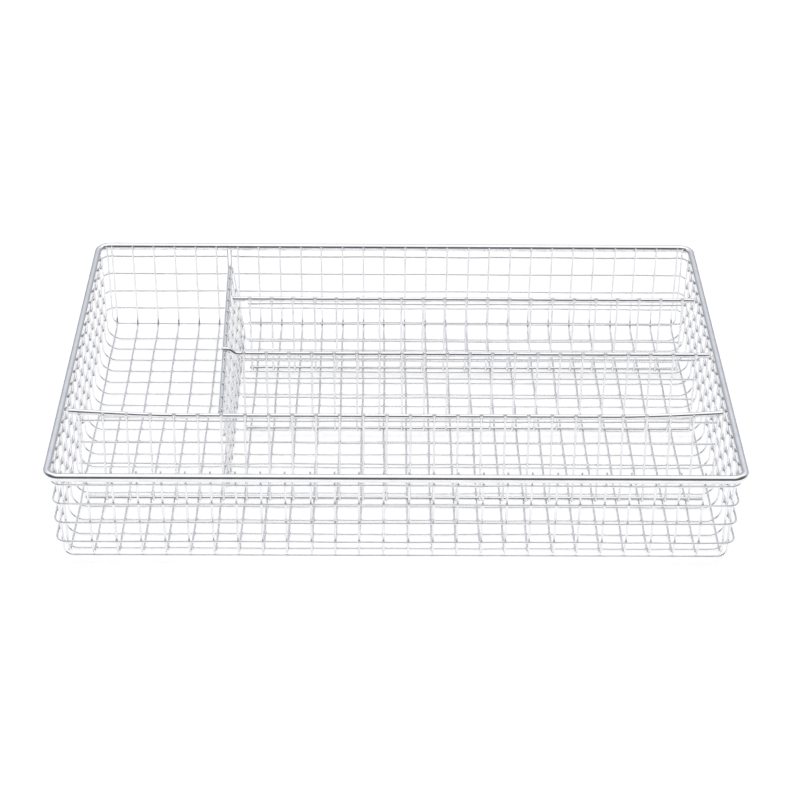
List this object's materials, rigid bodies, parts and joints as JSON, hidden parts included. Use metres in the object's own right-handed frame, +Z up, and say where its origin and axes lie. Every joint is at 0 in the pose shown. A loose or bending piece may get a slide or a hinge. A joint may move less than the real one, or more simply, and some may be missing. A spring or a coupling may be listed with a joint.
{
  "type": "cutlery tray",
  "caption": "Rectangular open wire mesh tray with a thick round rim and wire mesh dividers that part it into long compartments for cutlery.",
  "frame": {"origin": "under the middle of the tray, on the surface that it stands on", "axes": "+X along the long side, to the right as seen from the front; +Y from the front to the back; +Z up"},
  "size_m": [0.3628, 0.2416, 0.0586],
  "materials": {
    "chrome_mesh_wire": "bright chrome plate on thin welded steel wire",
    "chrome_heavy_wire": "bright chrome plate on thick steel wire",
    "chrome_panel_wire": "bright chrome plate on the dividers' welded mesh"
  },
  "bodies": {
    "root": {"rim": "chrome_heavy_wire", "depth_wire_01": "chrome_mesh_wire", "depth_wire_02": "chrome_mesh_wire", "depth_wire_03": "chrome_mesh_wire", "depth_wire_04": "chrome_mesh_wire", "depth_wire_05": "chrome_mesh_wire", "depth_wire_06": "chrome_mesh_wire", "depth_wire_07": "chrome_mesh_wire", "depth_wire_08": "chrome_mesh_wire", "depth_wire_09": "chrome_mesh_wire", "depth_wire_10": "chrome_mesh_wire", "depth_wire_11": "chrome_mesh_wire", "depth_wire_12": "chrome_mesh_wire", "depth_wire_13": "chrome_mesh_wire", "depth_wire_14": "chrome_mesh_wire", "depth_wire_15": "chrome_mesh_wire", "depth_wire_16": "chrome_mesh_wire", "depth_wire_17": "chrome_mesh_wire", "depth_wire_18": "chrome_mesh_wire", "depth_wire_19": "chrome_mesh_wire", "depth_wire_20": "chrome_mesh_wire", "depth_wire_21": "chrome_mesh_wire", "depth_wire_22": "chrome_mesh_wire", "depth_wire_23": "chrome_mesh_wire", "depth_wire_24": "chrome_mesh_wire", "depth_wire_25": "chrome_mesh_wire", "depth_wire_26": "chrome_mesh_wire", "depth_wire_27": "chrome_mesh_wire", "depth_wire_28": "chrome_mesh_wire", "cross_wire_01": "chrome_mesh_wire", "cross_wire_02": "chrome_mesh_wire", "cross_wire_03": "chrome_mesh_wire", "cross_wire_04": "chrome_mesh_wire", "cross_wire_05": "chrome_mesh_wire", "cross_wire_06": "chrome_mesh_wire", "cross_wire_07": "chrome_mesh_wire", "cross_wire_08": "chrome_mesh_wire", "cross_wire_09": "chrome_mesh_wire", "cross_wire_10": "chrome_mesh_wire", "cross_wire_11": "chrome_mesh_wire", "cross_wire_12": "chrome_mesh_wire", "cross_wire_13": "chrome_mesh_wire", "cross_wire_14": "chrome_mesh_wire", "cross_wire_15": "chrome_mesh_wire", "cross_wire_16": "chrome_mesh_wire", "cross_wire_17": "chrome_mesh_wire", "cross_wire_18": "chrome_mesh_wire", "front_bend_wire": "chrome_mesh_wire", "back_bend_wire": "chrome_mesh_wire", "wall_row_1": "chrome_mesh_wire", "wall_row_2": "chrome_mesh_wire", "wall_row_3": "chrome_mesh_wire", "wall_row_4": "chrome_mesh_wire", "front_divider_panel": "chrome_panel_wire", "middle_divider_panel": "chrome_panel_wire", "back_divider_panel": "chrome_panel_wire", "cross_divider": "chrome_panel_wire", "front_divider_rail": "chrome_heavy_wire", "middle_divider_rail": "chrome_heavy_wire", "back_divider_rail": "chrome_heavy_wire"}
  },
  "joints": []
}
